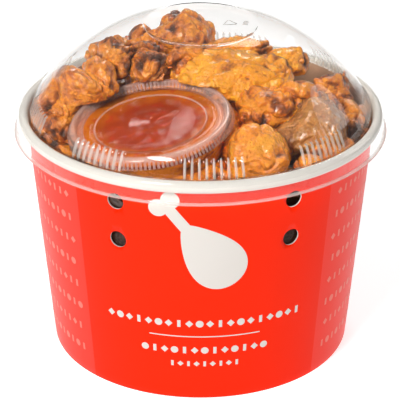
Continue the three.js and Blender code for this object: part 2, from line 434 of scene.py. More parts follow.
def new_material(name: str) -> tuple[bpy.types.Material, NodeMaker, bpy.types.Node]:
    """A node material with its maker and its Principled shader.

    Args:
        name: the material's name.

    Returns:
        The material, its maker and its shader.
    """
    material = bpy.data.materials.new(name)
    material.use_nodes = True
    maker = NodeMaker(material.node_tree)
    shader = next(n for n in material.node_tree.nodes if n.type == "BSDF_PRINCIPLED")
    return material, maker, shader


def tune(shader: bpy.types.Node, **values: object) -> None:
    """Sets a shader's sockets, each named with underscores for its spaces."""
    for name, value in values.items():
        shader.inputs[name.replace("_", " ")].default_value = value


def new_group(name: str, inputs: tuple[str, ...],
              outputs: tuple[str, ...]) -> tuple[NodeMaker, bpy.types.Node, bpy.types.Node]:
    """Starts a node group whose first input is a vector and whose other sockets are numbers.

    Args:
        name: the group's name.
        inputs: names of its inputs.
        outputs: names of its outputs.

    Returns:
        Its maker, its input node and its output node.
    """
    group = bpy.data.node_groups.new(name, "ShaderNodeTree")
    for i, socket in enumerate(inputs):
        kind = "NodeSocketFloat" if i else "NodeSocketVector"
        group.interface.new_socket(socket, in_out="INPUT", socket_type=kind)
    for socket in outputs:
        group.interface.new_socket(socket, in_out="OUTPUT", socket_type="NodeSocketFloat")
    maker = NodeMaker(group)
    return maker, maker.add("NodeGroupInput"), maker.add("NodeGroupOutput")


def grain_group() -> bpy.types.NodeTree:
    """Node group of fine board grain: a height and a mask from coordinates and a scale.

    Returns:
        The group, built once.
    """
    name = "board grain"
    if name in bpy.data.node_groups:
        return bpy.data.node_groups[name]
    maker, start, end = new_group(name, ("Vector", "Scale"), ("Height", "Mask"))
    fine = maker.add("ShaderNodeTexNoise", Detail=4.0)
    broad = maker.add("ShaderNodeTexNoise", Scale=30.0, Detail=2.0)
    for node in (fine, broad):
        maker.join(start.outputs["Vector"], node.inputs["Vector"])
    maker.join(start.outputs["Scale"], fine.inputs["Scale"])
    maker.join(fine.outputs["Fac"], end.inputs["Height"])
    maker.join(broad.outputs["Fac"], end.inputs["Mask"])
    return maker.tree


# ------------------------------------------------------------------ finishes


@dataclass(frozen=True)
class BoardFinish:
    """Coated paper board in one colour, or with a paler red on the side panels that is a painted sheen."""

    name: str
    colour: Triple
    panel_sheen_colour: Triple | None = None
    panel_turn: float = 45.0
    roughness: float = 0.32
    shine: float = 0.06
    worn: float = 0.93
    rough_spread: float = 0.12
    grain_scale: float = 2600.0
    grain_depth: float = 0.02

    def material(self) -> bpy.types.Material:
        """Builds the board material.

        Returns:
            The material.
        """
        material, maker, shader = new_material(self.name)
        coords = maker.add("ShaderNodeTexCoord").outputs["Object"]
        grain = maker.add("ShaderNodeGroup", node_tree=grain_group())
        grain.inputs["Scale"].default_value = self.grain_scale
        maker.join(coords, grain.inputs["Vector"])
        worn = tuple(c * self.worn for c in self.colour)
        colour = maker.mix(grain.outputs["Mask"], self.colour, worn)
        if self.panel_sheen_colour:
            # painted sheen: the side panels get a paler red
            colour = maker.mix(self.sheen_panel_mask(maker, coords), colour, self.panel_sheen_colour)
        maker.join(colour, shader.inputs["Base Color"])
        smoothest = self.roughness - self.rough_spread / 2
        rough = maker.math("MULTIPLY_ADD", grain.outputs["Mask"], self.rough_spread, smoothest)
        maker.join(rough, shader.inputs["Roughness"])
        maker.join(maker.bump(grain.outputs["Height"], self.grain_depth), shader.inputs["Normal"])
        tune(shader, Specular_IOR_Level=self.shine)
        return material

    def sheen_panel_mask(self, maker: NodeMaker, coords: bpy.types.NodeSocket) -> bpy.types.NodeSocket:
        """1 on the two side panels, where the painted sheen goes, 0 on the front and the back.

        Args:
            maker: the material's node maker.
            coords: Object coordinates.

        Returns:
            The mask.
        """
        turned = maker.add("ShaderNodeVectorRotate", rotation_type="Z_AXIS")
        turned.inputs["Angle"].default_value = -math.radians(PACK.panel_turn)
        maker.join(coords, turned.inputs["Vector"])
        parts = maker.add("ShaderNodeSeparateXYZ")
        maker.join(turned.outputs[0], parts.inputs[0])
        across = maker.math("ABSOLUTE", parts.outputs["X"])
        along = maker.math("ABSOLUTE", parts.outputs["Y"])
        angle = maker.math("ARCTAN2", across, along)
        return maker.math("GREATER_THAN", angle, math.radians(self.panel_turn))


class Board(Enum):
    """The boards and inks of the bucket."""

    # the side panels' paler red is a painted sheen, not print
    RED = BoardFinish("printed red board", (0.98, 0.024, 0.0015), panel_sheen_colour=(0.94, 0.052, 0.032))
    WHITE = BoardFinish("white board", (0.75, 0.72, 0.67), roughness=0.45)
    # brown inside: grease stain and painted shade
    STAIN_AND_SHADE = BoardFinish("stained_and_shaded board", (0.50, 0.32, 0.20), roughness=0.4)
    FAINT = BoardFinish("faint print", (0.95, 0.22, 0.17))


@dataclass(frozen=True)
class ClearPlastic:
    """Thin plastic film, clear or a little milky.

    Film too thin to bend what is seen through it: the body hardly refracts, and its coat mirrors.
    """

    name: str
    tint: Triple = (0.995, 0.99, 0.98)
    roughness: float = 0.02
    ior: float = 1.02
    mirror: float = 0.6
    mirror_ior: float = 1.5
    milk: float = 0.0
    haze_scale: float = 60.0
    ripple_scale: float = 70.0
    ripple_depth: float = 0.25
    ripple_strength: float = 0.08

    def material(self) -> bpy.types.Material:
        """Builds the film, see-through to shadow rays.

        Returns:
            The material.
        """
        material, maker, shader = new_material(self.name)
        tune(shader, Base_Color=(*self.tint, 1.0), Transmission_Weight=1.0 - self.milk, IOR=self.ior,
             Roughness=self.roughness, Coat_Weight=self.mirror, Coat_IOR=self.mirror_ior)
        coords = maker.add("ShaderNodeTexCoord").outputs["Object"]
        haze = maker.noise(coords, self.haze_scale, 2.0)
        maker.join(maker.math("MULTIPLY", haze, self.roughness * 2), shader.inputs["Coat Roughness"])
        ripple = maker.noise(coords, self.ripple_scale, 1.0)
        waves = maker.bump(ripple, self.ripple_depth, self.ripple_strength)
        maker.join(waves, shader.inputs["Coat Normal"])
        path = maker.add("ShaderNodeLightPath")
        clear = maker.add("ShaderNodeBsdfTransparent")
        clear.inputs["Color"].default_value = (*self.tint, 1.0)
        mixed = maker.add("ShaderNodeMixShader")
        maker.join(path.outputs["Is Shadow Ray"], mixed.inputs["Fac"])
        maker.join(shader.outputs[0], mixed.inputs[1])
        maker.join(clear.outputs[0], mixed.inputs[2])
        output = next(n for n in material.node_tree.nodes if n.type == "OUTPUT_MATERIAL")
        maker.join(mixed.outputs[0], output.inputs["Surface"])
        return material


class Plastic(Enum):
    """The clear plastics of the lid and the pot."""

    CLEAR = ClearPlastic("clear plastic")
    POT = ClearPlastic("pot plastic", mirror=0.3)
    # frosted on the pot lid's outer edge, and painted highlights on its inner ring, ticks and teeth
    FROST_AND_HIGHLIGHT = ClearPlastic("milky plastic", tint=(0.96, 0.76, 0.68), roughness=0.1, milk=0.24)
    # milky plastic as painted highlights on the dome's rib crests and flange
    HIGHLIGHT_FILM = ClearPlastic("ribbed plastic", tint=(1.0, 0.97, 0.93), roughness=0.06, milk=0.3)
    MARK = ClearPlastic("moulded mark", tint=(0.6, 0.6, 0.6), roughness=0.15)


@dataclass(frozen=True)
class SauceFinish:
    """Sweet chilli sauce: amber at the edge, red in the middle, with flecks."""

    name: str = "chilli sauce"
    middle: Triple = (0.31, 0.026, 0.001)
    edge: Triple = (0.60, 0.165, 0.003)
    fleck: Triple = (0.46, 0.008, 0.002)
    cloud_scale: float = 70.0
    cloud_share: float = 0.9
    fleck_scale: float = 260.0
    fleck_level: float = 0.62
    fleck_share: float = 0.5
    roughness: float = 0.14
    shine: float = 0.08

    def material(self) -> bpy.types.Material:
        """Builds the sauce, shaded by the piece's own edge attribute.

        Returns:
            The material.
        """
        material, maker, shader = new_material(self.name)
        coords = maker.add("ShaderNodeTexCoord").outputs["Object"]
        edge = maker.add("ShaderNodeAttribute", attribute_name=EDGE).outputs["Fac"]
        cloud = maker.noise(coords, self.cloud_scale, 3.0)
        share = maker.math("MULTIPLY_ADD", cloud, self.cloud_share, maker.math("SUBTRACT", edge, 0.5))
        body = maker.ramp(share, [(0.18, self.middle), (0.95, self.edge)])
        flecks = maker.noise(coords, self.fleck_scale, 2.0)
        mask = maker.math("GREATER_THAN", flecks, self.fleck_level)
        mask = maker.math("MULTIPLY", mask, self.fleck_share)
        maker.join(maker.mix(mask, body, self.fleck), shader.inputs["Base Color"])
        tune(shader, Roughness=self.roughness, Specular_IOR_Level=self.shine)
        maker.join(maker.bump(cloud, 0.3, 0.4), shader.inputs["Normal"])
        return material


@dataclass(frozen=True)
class SkinPattern:
    """Scales per metre, and shares, of the pattern in roast skin."""

    blotches: float = 140.0
    specks: float = 520.0
    speck_share: float = 0.8
    blisters: float = 760.0
    pores: float = 1500.0
    pore_share: float = 0.4

    def height(self, maker: NodeMaker, coords: bpy.types.NodeSocket) -> bpy.types.NodeSocket:
        """Height of the blisters and pores, made in the maker's own tree.

        Args:
            maker: the maker of the tree.
            coords: Object coordinates.

        Returns:
            The height.
        """
        blisters = maker.add("ShaderNodeTexVoronoi", Scale=self.blisters, feature="SMOOTH_F1")
        maker.join(coords, blisters.inputs["Vector"])
        raised = maker.math("SUBTRACT", 1.0, blisters.outputs["Distance"])
        pores = maker.noise(coords, self.pores, 2.0)
        return maker.math("MULTIPLY_ADD", pores, self.pore_share, raised)

    def group(self) -> bpy.types.NodeTree:
        """Node group of roast skin: how dark it is, and the height of its pores and blisters.

        Returns:
            The group, built once.
        """
        name = "roast skin"
        if name in bpy.data.node_groups:
            return bpy.data.node_groups[name]
        maker, start, end = new_group(name, ("Vector", "Crust_and_shade", "Blotch"), ("Dark", "Height"))
        coords = start.outputs["Vector"]
        blotches = maker.math("SUBTRACT", maker.noise(coords, self.blotches, 4.0), 0.5)
        specks = maker.math("SUBTRACT", maker.noise(coords, self.specks, 3.0), 0.5)
        mottle = maker.math("MULTIPLY", blotches, start.outputs["Blotch"])
        fine = maker.math("MULTIPLY_ADD", specks, self.speck_share, mottle)
        maker.join(maker.math("ADD", start.outputs["Crust_and_shade"], fine), end.inputs["Dark"])
        maker.join(self.height(maker, coords), end.inputs["Height"])
        return maker.tree


@dataclass(frozen=True)
class WingSkin:
    """Glazed roast skin, from its palest gold to its darkest char, and a colour of painted shade for skin
    low by the wall and under the heap's top.
    """

    name: str
    pale: Triple
    warm: Triple
    deep: Triple
    crust_and_shade: Triple = (0.075, 0.02, 0.005)
    # colour of the painted shade on skin low by the wall and under the heap's top
    buried_shade: Triple = (0.04, 0.011, 0.003)
    shift: float = 0.0
    blotch: float = 1.7
    relief: float = 0.7
    glaze: float = 0.9
    glaze_relief: float = 0.07
    smoothest: float = 0.24
    dryness: float = 0.2
    pattern: SkinPattern = SkinPattern()

    def material(self) -> bpy.types.Material:
        """Builds the skin, darkened by the piece's own crust attribute.

        Returns:
            The material.
        """
        material, maker, shader = new_material(self.name)
        coords = maker.add("ShaderNodeTexCoord").outputs["Object"]
        crust_and_shade = maker.add("ShaderNodeAttribute", attribute_name=CRUST_AND_SHADE).outputs["Fac"]
        skin = maker.add("ShaderNodeGroup", node_tree=self.pattern.group())
        skin.inputs["Blotch"].default_value = self.blotch
        maker.join(coords, skin.inputs["Vector"])
        maker.join(maker.math("ADD", crust_and_shade, self.shift), skin.inputs["Crust_and_shade"])
        dark = skin.outputs["Dark"]
        stops = [(0.05, self.pale), (0.38, self.warm), (0.66, self.deep), (0.88, self.crust_and_shade)]
        share = maker.math("DIVIDE", dark, DARKEST)
        # the darkest stop is painted shade
        stops = [(level / DARKEST, colour) for level, colour in stops + [(DARKEST, self.buried_shade)]]
        maker.join(maker.ramp(share, stops), shader.inputs["Base Color"])
        rough = maker.math("MULTIPLY_ADD", dark, self.dryness, self.smoothest)
        maker.join(rough, shader.inputs["Roughness"])
        maker.join(maker.bump(skin.outputs["Height"], self.relief), shader.inputs["Normal"])
        glaze = maker.bump(self.pattern.height(maker, coords), self.glaze_relief)
        maker.join(glaze, shader.inputs["Coat Normal"])
        tune(shader, Specular_IOR_Level=0.4, Coat_Weight=self.glaze, Coat_Roughness=0.07,
             Subsurface_Weight=0.12, Subsurface_Radius=(0.004, 0.0015, 0.0006), Subsurface_Scale=0.6)
        return material


class Skin(Enum):
    """How far a wing is browned."""

    GOLDEN = WingSkin("golden skin", (0.92, 0.38, 0.022), (0.82, 0.29, 0.012), (0.40, 0.105, 0.005),
                      blotch=1.2)
    ORANGE = WingSkin("orange skin", (0.82, 0.29, 0.022), (0.58, 0.15, 0.007), (0.24, 0.05, 0.003))
    BROWN = WingSkin("brown skin", (0.72, 0.25, 0.024), (0.44, 0.115, 0.007), (0.15, 0.032, 0.003),
                     shift=0.06)
    AMBER = WingSkin("amber skin", (0.95, 0.38, 0.036), (0.84, 0.26, 0.014), (0.42, 0.10, 0.005),
                     blotch=1.0)
    PALE = WingSkin("pale skin", (0.49, 0.21, 0.05), (0.35, 0.125, 0.02), (0.22, 0.06, 0.008),
                    blotch=1.2)


# ------------------------------------------------------------------ wings


class WingShape(Enum):
    """The three cuts of a wing."""

    DRUMETTE = "drumette"
    FLAT = "flat"
    TIP = "tip"


def bulge(value: float, middle: float, spread: float) -> float:
    """A smooth hump of height 1."""
    return math.exp(-(((value - middle) / spread) ** 2))


def valley(spot: Vector, width: float) -> float:
    """1 along the winding lines where a noise crosses zero, falling to 0 beside them."""
    return math.exp(-((noise.noise(spot) / width) ** 2))


THICKNESS: dict[WingShape, Callable[[float], float]] = {
    WingShape.DRUMETTE: lambda t: 0.45 + 0.55 * bulge(t, 0.3, 0.27) + 0.16 * bulge(t, 0.93, 0.1),
    WingShape.FLAT: lambda t: 0.86 + 0.14 * bulge(t, 0.08, 0.16) + 0.16 * bulge(t, 0.92, 0.12),
    WingShape.TIP: lambda t: 1.0 - 0.5 * t,
}


@dataclass(frozen=True)
class LumpGrowth:
    """How a lump of a wing grows: a short piece, browner and rounder than the wing itself."""

    reach: float = 0.5
    depth: float = 0.9
    char: float = 0.14
    detail: int = 5
    bluntness: float = 2.0
    seed_step: int = 9


@dataclass(frozen=True)
class Relief:
    """Sizes in millimetres of the skin's waves, folds and pimples, and how far each pushes."""

    broad: float = 14.0
    warp: float = 9.0
    lump: float = 5.2
    fold: float = 9.0
    crease: float = 4.4
    pimple: float = 1.5
    fold_width: float = 0.12
    crease_width: float = 0.2
    warp_push: float = 2.6
    broad_push: float = 2.2
    lump_push: float = 2.2
    fold_push: float = 2.6
    crease_push: float = 0.8
    pimple_push: float = 0.3


@dataclass(frozen=True)
class Shade:
    """Painted shade on skin low beside the wall and under the heap's top, in millimetres."""

    top: float = 108.0
    depth: float = 12.0
    fall: float = 7.0
    cover: float = 4.0
    buried_fall: float = 9.0

    def by_the_wall(self, co: Vector) -> float:
        """Painted shade that a point gains low beside the wall."""
        near = math.hypot(co.x, co.y) > PACK.wall(co.z) - self.depth
        return (self.top - co.z) / self.fall if near and co.z < self.top else 0.0

    def buried_shade(self, co: Vector, mound: float) -> float:
        """Painted shade that a point gains below the mound's height there."""
        return max(0.0, mound - self.cover - co.z) / self.buried_fall


LUMP = LumpGrowth()
RELIEF = Relief()
SHADE = Shade()
LOBE_COUNT = 9
SAG = 0.06
END_PUSH = 1.2


@dataclass
class Wing:
    """One wing piece along a line from its thick end to its bony end, in millimetres."""

    node: str
    shape: WingShape
    skin: Skin
    start: Triple
    end: Triple
    girth: float
    depth: float
    face: Triple
    seed: int = 1
    wrinkle: float = 1.0
    char: float = 0.0
    detail: int = 6
    bluntness: float = 2.9
    lumps: tuple[tuple[Triple, Triple, float], ...] = ()
    lobes: list[tuple[Vector, float, float]] = field(default_factory=list)

    def axes(self) -> tuple[Vector, Vector, Vector, Vector, float]:
        """Works out the wing's own axes.

        Returns:
            Start point, the three unit axes (along, side, out) and the length.
        """
        start = Vector(self.start)
        spine = Vector(self.end) - start
        along = spine.normalized()
        out = Vector(self.face)
        out = (out - along * out.dot(along)).normalized()
        return start, along, along.cross(out), out, spine.length

    def choose_lobes(self) -> None:
        """Picks where the muscle and knuckle lobes swell, always the same for a seed."""
        draw = random.Random(self.seed)
        for _ in range(LOBE_COUNT):
            turn = draw.uniform(0, 2 * math.pi)
            t = draw.choice((draw.uniform(0.0, 0.3), draw.uniform(0.3, 1.0), draw.uniform(0.8, 1.0)))
            way = Vector((math.cos(turn), math.sin(turn), 2.4 * t - 1.2))
            self.lobes.append((way, draw.uniform(0.25, 0.5), draw.uniform(0.05, 0.2)))

    def grow(self, bm: bmesh.types.BMesh) -> None:
        """Adds the wing's body to a bmesh, with its values of browning and painted shade from 0, pale, to 1,
        charred.

        The wing's axes are left-handed and turn the ball inside out, so its faces are reversed.

        Args:
            bm: the bmesh to add to, which has a layer of browning and painted shade.
        """
        for i, (start, end, girth) in enumerate(self.lumps):
            reach = (Vector(end) - Vector(start)).normalized() * girth * LUMP.reach
            Wing(self.node, WingShape.FLAT, self.skin, tuple(Vector(start) - reach),
                 tuple(Vector(end) + reach), girth, LUMP.depth, self.face,
                 seed=self.seed * LUMP.seed_step + i, wrinkle=self.wrinkle, char=self.char + LUMP.char,
                 detail=LUMP.detail, bluntness=LUMP.bluntness).grow(bm)
        layer = bm.verts.layers.float[CRUST_AND_SHADE]
        self.choose_lobes()
        start, along, side, out, length = self.axes()
        ball = bmesh.ops.create_icosphere(bm, subdivisions=self.detail, radius=1.0)["verts"]
        shift = Vector((self.seed * 7.3, self.seed * 3.1, self.seed * 1.7))
        for vert in ball:
            unit = vert.co.normalized()
            t = 0.5 + 0.5 * unit.z
            flat = math.hypot(unit.x, unit.y) or 1e-6
            ends = math.sqrt(max(0.0, 1.0 - abs(unit.z) ** self.bluntness))
            swell = 1.0
            for way, spread, height in self.lobes:
                swell += height * math.exp(-((unit - way).length_squared) / (2 * spread**2))
            half = self.girth * THICKNESS[self.shape](t) * ends * swell
            sag = SAG * length * math.sin(math.pi * t)
            body = start + along * (length * t) + side * (half * unit.x / flat)
            body += out * (half * self.depth * unit.y / flat + sag)
            push, vert[layer] = self.relief(body + shift, t)
            way = side * (unit.x / flat) + out * (unit.y / flat) + along * (END_PUSH * unit.z**5)
            vert.co = body + way.normalized() * push
        shell = {face for vert in ball for face in vert.link_faces}
        bmesh.ops.reverse_faces(bm, faces=list(shell))

    def relief(self, spot: Vector, t: float) -> tuple[float, float]:
        """How far the skin stands out at a spot, and how dark it is: browned, with painted shade in its
        dips, folds and creases.

        Args:
            spot: place in millimetres, shifted by the wing's seed.
            t: share of the way along the wing.

        Returns:
            The push in millimetres and the crust value.
        """
        knobbly = bulge(t, 1.0, 0.24) + 0.6 * bulge(t, 0.0, 0.17)
        rough = self.wrinkle * (0.5 + 0.8 * knobbly)
        broad = noise.noise(spot / RELIEF.broad)
        bent = spot + RELIEF.warp_push * noise.noise_vector(spot / RELIEF.warp)
        lumpy = noise.noise(bent / RELIEF.lump + Vector((9, 4, 2)))
        folds = valley(bent / RELIEF.fold, RELIEF.fold_width)
        creases = valley(bent / RELIEF.crease + Vector((5, 1, 7)), RELIEF.crease_width)
        pimples = noise.noise(spot / RELIEF.pimple)
        inward = RELIEF.lump_push * lumpy - RELIEF.fold_push * folds - RELIEF.crease_push * creases
        push = RELIEF.broad_push * broad + rough * inward + RELIEF.pimple_push * self.wrinkle * pimples
        uneven = min(1.0, 0.25 + 0.7 * self.wrinkle)
        # painted shade: darker in the dips between lumps and paler on their bulges; the next line darkens
        # the folds and creases
        crust_and_shade = 0.12 + uneven * (0.5 * broad - 0.45 * lumpy) + 0.14 * knobbly
        crust_and_shade += 0.38 * rough * (folds + 0.5 * creases)
        crust_and_shade += self.char * (0.55 + noise.noise(spot / 8.0 + Vector((3, 8, 1))))
        return push, crust_and_shade


def keep_inside(co: Vector) -> Vector:
    """Pulls a point in millimetres in under the lid and the wall, and out of the dip pot.

    Args:
        co: the point.

    Returns:
        The point where there is room for it.
    """
    into_pot = POT_TO_AXIS @ co
    need = POT.room(into_pot.z)
    apart = math.hypot(into_pot.x, into_pot.y)
    if apart < need:
        scale = need / max(apart, 1e-3)
        if into_pot.z < POT.floor + POT.under_reach:
            into_pot.z = POT.floor - POT.under_gap
        else:
            into_pot.x, into_pot.y = into_pot.x * scale, into_pot.y * scale
        co = POT_FROM_AXIS @ into_pot
    if co.z > PACK.band_head[1]:
        middle = Vector((0, 0, PACK.dome_centre))
        reach = co - middle
        limit = PACK.dome_radius - PACK.dome_gap
        if reach.length > limit:
            co = middle + reach.normalized() * limit
        co.z = min(co.z, PACK.disc_height - PACK.disc_gap)
    radius = math.hypot(co.x, co.y)
    limit = PACK.room(co.z)
    if radius > limit:
        co.x, co.y = co.x * limit / radius, co.y * limit / radius
    return co


def skin_bmesh() -> bmesh.types.BMesh:
    """An empty bmesh with a layer for how browned each vertex is and how much painted shade it has.

    Returns:
        The bmesh.
    """
    bm = bmesh.new()
    bm.verts.layers.float.new(CRUST_AND_SHADE)
    return bm


def skin_piece(bm: bmesh.types.BMesh, name: str) -> bpy.types.Object:
    """Fits grown wings into the pack, and paints shade on them low beside the wall.

    Args:
        bm: the bmesh of one or more wings.
        name: the piece's name.

    Returns:
        The finished object with its attribute of browning and painted shade.
    """
    layer = bm.verts.layers.float[CRUST_AND_SHADE]
    for vert in bm.verts:
        vert.co = keep_inside(vert.co)
        # painted shade low beside the wall
        vert[layer] += SHADE.by_the_wall(vert.co)
        vert[layer] = min(max(vert[layer], 0.0), DARKEST)
    bmesh.ops.smooth_vert(
        bm, verts=bm.verts[:], factor=0.25, use_axis_x=True, use_axis_y=True, use_axis_z=True,
    )
    return finished(bm, name)


@dataclass
class WingHeap:
    """The wings: those that show, one by one, and the hidden ones below as one piece."""

    middle: Point = (-14.0, 8.0)
    top: float = 123.0
    edge: float = 95.0
    reach: float = 82.0
    hidden: int = 22
    by_the_wall: int = 13
    wall_ring: float = 62.0
    wall_half: float = 22.0
    wall_girth: float = 10.5
    wall_sunk: float = 8.0
    pot_gap: float = 11.0
    spread: float = 0.78
    sunk: float = 9.0
    tilt: float = 0.12
    halves: Point = (22.0, 30.0)
    girths: Point = (10.0, 14.0)
    core_heights: Point = (10.0, 88.0)
    core_crown: Triple = (66.0, 90.0, 8.0)
    core_crust: float = 0.5
    warp_seed: int = 5
    draw_seed: int = 77
    left_seed: int = 99
    hidden_seed: int = 100
    wall_seed: int = 140
    visible: list[Wing] = field(default_factory=list)

    def __post_init__(self) -> None:
        """Lists the wings that show, where the CAD solids lie."""
        drum, flat, tip = WingShape.DRUMETTE, WingShape.FLAT, WingShape.TIP
        self.visible = [
            Wing("wing_large_flat", flat, Skin.GOLDEN, (-16, 5, 125), (44, 4, 127), 16.5, 0.65,
                 (0.1, -0.5, 0.87), seed=3, wrinkle=0.75,
                 lumps=(((2.6, 25, 132), (31, 29, 133), 7), ((33, 16, 130), (47, 18, 131), 8.5))),
            Wing("wing_top_drumette", drum, Skin.ORANGE, (8, 36, 136.5), (-31, 32, 133), 13, 0.9,
                 (0, -0.3, 1), seed=5, wrinkle=1.0, char=0.05,
                 lumps=(((-16, 42, 139), (-8, 48, 139), 7), ((-25, 40, 133), (-32, 32, 131), 8.5))),
            Wing("wing_curled_joint", tip, Skin.ORANGE, (4, 13, 136), (-15, 5, 134), 8.5, 0.8,
                 (0, -0.6, 0.8), seed=8, wrinkle=1.2, lumps=(((-10, 12, 135), (-2, 17, 136), 6),)),
            Wing("wing_left_drumette", drum, Skin.ORANGE, (-50, 5, 130), (-66, -10, 112), 16, 0.85,
                 (-0.5, -0.2, 0.9), seed=12, wrinkle=0.8,
                 lumps=(((-49, 9, 132), (-44, -7, 126), 9.5), ((-66, 5, 126), (-70, -3, 117), 9.5),
                        ((-62, -2, 113), (-64, -14, 106), 9))),
            Wing("wing_crusty_knuckle", flat, Skin.BROWN, (-46, 22, 135), (-36, 9, 131), 9.5, 0.9,
                 (0, -0.5, 0.8), seed=13, wrinkle=1.2, char=0.05,
                 lumps=(((-50, 19, 131), (-46, 24, 133), 7), ((-42, 14, 135), (-36, 11, 131), 8.5),
                        ((-41, 23, 138), (-35, 17, 135), 7))),
            Wing("wing_dark_flat", flat, Skin.BROWN, (-33, 12, 132), (-15, 8, 130), 9.5, 0.9,
                 (0, -0.6, 0.8), seed=17, wrinkle=1.1, char=0.3,
                 lumps=(((-30, 19, 135), (-22, 17, 135), 6.5), ((-24, 7, 129), (-15, 12, 132), 6.5))),
            Wing("wing_right_flat", flat, Skin.ORANGE, (17, -17, 118), (50, -8, 122), 11, 0.8,
                 (0, -0.4, 0.9), seed=19, wrinkle=0.9,
                 lumps=(((39, -8, 126), (53, -10, 124), 8), ((26, -14, 121), (41, -17, 122), 8))),
            Wing("wing_right_drumette", drum, Skin.PALE, (66, -18, 117), (33, -32, 107), 17, 0.75,
                 (0.1, -0.35, 0.9), seed=23, wrinkle=0.5, lumps=(((44, -14, 118), (58, -9, 119), 8.5),)),
            Wing("wing_front_drumette", drum, Skin.AMBER, (37, -58, 113), (7, -24, 103), 16, 0.95,
                 (-0.1, -0.3, 0.9), seed=29, wrinkle=0.6, bluntness=2.2,
                 lumps=(((17, -24, 108), (26, -22, 109), 8),)),
            Wing("wing_upright_tip", tip, Skin.ORANGE, (58, 12, 104), (68, 17, 126), 10, 0.6,
                 (0.2, -0.9, 0.1), seed=31, wrinkle=1.0,
                 lumps=(((57, 15, 118), (65, 14, 121), 6), ((68, 11, 117), (65, 11, 111), 6.5))),
            Wing("wing_far_right_flat", flat, Skin.BROWN, (64, 14, 110), (77, -22, 111), 9, 0.8,
                 (-0.2, -0.2, 0.9), seed=37, wrinkle=1.1, char=0.1),
            Wing("wing_front_right_flat", flat, Skin.ORANGE, (42, -58, 105), (70, -26, 105), 10, 0.8,
                 (0.1, -0.5, 0.8), seed=41, wrinkle=1.0),
        ]

    def mound(self, x: float, y: float) -> float:
        """Height of the hidden heap's top at a place."""
        share = min(1.0, math.hypot(x - self.middle[0], y - self.middle[1]) / self.reach)
        return self.top - (self.top - self.edge) * share**1.6

    def build_visible(self) -> None:
        """Builds and dresses each wing that shows, with the warp of their folds always the same."""
        noise.seed_set(self.warp_seed)
        skins = {skin: skin.value.material() for skin in Skin}
        for wing in self.visible:
            bm = skin_bmesh()
            wing.grow(bm)
            piece = skin_piece(bm, wing.node.replace("wing_", "glazed_"))
            place(piece, skins[wing.skin], (wing.node,))
        self.build_hidden(skins[Skin.ORANGE])

    def line_the_wall(self, bm: bmesh.types.BMesh) -> None:
        """Adds hidden wings that lie along the wall, clear of the pot.

        Args:
            bm: the hidden heap's bmesh.
        """
        for i in range(self.by_the_wall):
            turn = 2 * math.pi * i / self.by_the_wall
            x, y = self.wall_ring * math.cos(turn), self.wall_ring * math.sin(turn)
            if math.hypot(x - POT.centre[0], y - POT.centre[1]) < POT.rim_radius + self.pot_gap:
                continue
            middle = Vector((x, y, self.mound(x, y) - self.wall_sunk))
            rise = self.tilt if i % 2 else -self.tilt
            step = Vector((-math.sin(turn), math.cos(turn), rise)) * self.wall_half
            Wing("wing_heap", WingShape.FLAT, Skin.ORANGE, tuple(middle - step), tuple(middle + step),
                 self.wall_girth, 0.8, (0, 0, 1), seed=self.wall_seed + i, detail=4).grow(bm)

    def core(self) -> list[Point]:
        """Section of the core under the hidden wings, flat below and rounded on top.

        Returns:
            Its points as (radius, height).
        """
        low, high = self.core_heights
        radius, brim, rise = self.core_crown
        steps = 6
        points = [(0.0, low), (PACK.room(low), low), (PACK.room(high), high)]
        return points + [(radius * i / steps, brim + rise * (1 - i / steps)) for i in range(steps, -1, -1)]

    def build_hidden(self, material: bpy.types.Material) -> None:
        """Builds the hidden wings over a smaller core, as one piece.

        Args:
            material: the skin that the hidden wings wear.
        """
        draw = random.Random(self.draw_seed)
        bm = skin_bmesh()
        layer = bm.verts.layers.float[CRUST_AND_SHADE]
        spin_profile(bm, self.core(), 96, closed=False)
        for vert in bm.verts:
            vert[layer] = self.core_crust
        for i in range(self.hidden):
            radius = self.reach * self.spread * math.sqrt((i + 0.5) / self.hidden)
            turn = i * GOLDEN_ANGLE
            x, y = radius * math.cos(turn), radius * math.sin(turn)
            middle = Vector((x, y, self.mound(x, y) - self.sunk))
            lean = draw.uniform(0, 2 * math.pi)
            half = draw.uniform(*self.halves)
            step = Vector((math.cos(lean), math.sin(lean), draw.uniform(-self.tilt, self.tilt))) * half
            shape = draw.choice((WingShape.FLAT, WingShape.DRUMETTE))
            girth = draw.uniform(*self.girths)
            Wing("wing_heap", shape, Skin.ORANGE, tuple(middle - step), tuple(middle + step),
                 girth, 0.8, (0, 0, 1), seed=self.hidden_seed + i, detail=5).grow(bm)
        Wing("wing_heap", WingShape.FLAT, Skin.ORANGE, (-68, -8, 98), (-61, -32, 97), 8.5, 0.8,
             (0, 0, 1), seed=self.left_seed, detail=5).grow(bm)
        self.line_the_wall(bm)
        # painted shade on the hidden wings under the heap's top
        for vert in bm.verts:
            vert[layer] += SHADE.buried_shade(vert.co, self.mound(vert.co.x, vert.co.y))
        place(skin_piece(bm, "glazed_heap"), material, ("wing_heap",))


# ------------------------------------------------------------------ bucket


class Mark(Enum):
    """The plain shapes that the bucket is printed with."""

    DISC = "disc"
    DIAMOND = "diamond"
    BAR = "bar"
    DROP = "drop"


